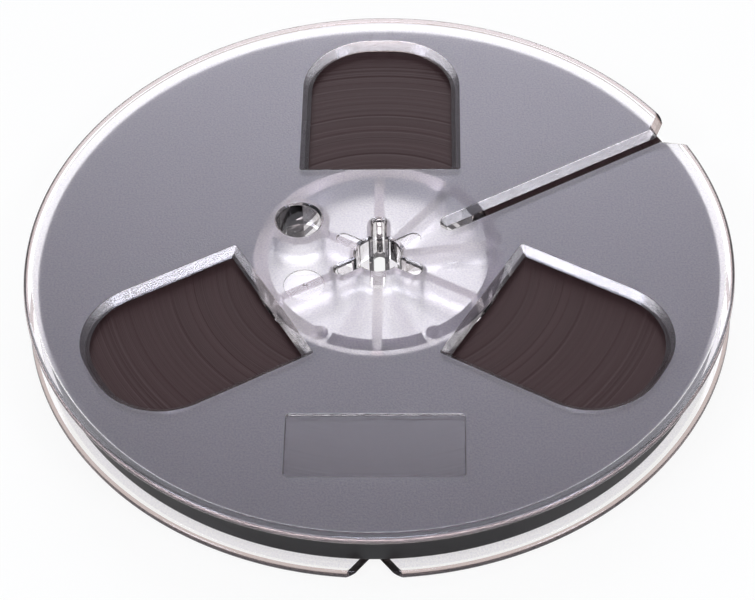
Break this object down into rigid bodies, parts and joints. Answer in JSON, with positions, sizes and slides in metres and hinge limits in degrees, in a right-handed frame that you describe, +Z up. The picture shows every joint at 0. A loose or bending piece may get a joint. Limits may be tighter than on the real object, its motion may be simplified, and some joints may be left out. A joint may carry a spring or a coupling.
{
  "type": "open-reel tape spool wound with tape",
  "caption": "Flat round spool of clear smoke plastic, frosted, with bevelled windows, keyed spindle bore, drive-peg hole and threading slots, wound with brown quarter-inch tape.",
  "frame": {"origin": "on the reel's axis, in the plane of the lower rim's outer face, on which the reel lies", "axes": "+Z up along the reel's axis; +Y from the axis through the middle of one window, so that the windows of both flanges stand at 90, 210 and 330 degrees, the upper flange's threading slot at 30 degrees and the lower flange's at 270 degrees"},
  "size_m": [0.127, 0.127, 0.011],
  "materials": {
    "smoke_clear_plastic": "clear smoke-tinted polystyrene, fine frosted outer faces, polished bevels and rim",
    "brown_tape": "edges of tightly wound brown oxide tape, satin, with fine concentric streaks"
  },
  "bodies": {
    "root": {"upper_half_spool": "smoke_clear_plastic", "lower_half_spool": "smoke_clear_plastic", "tape_pack": "brown_tape"}
  },
  "joints": []
}
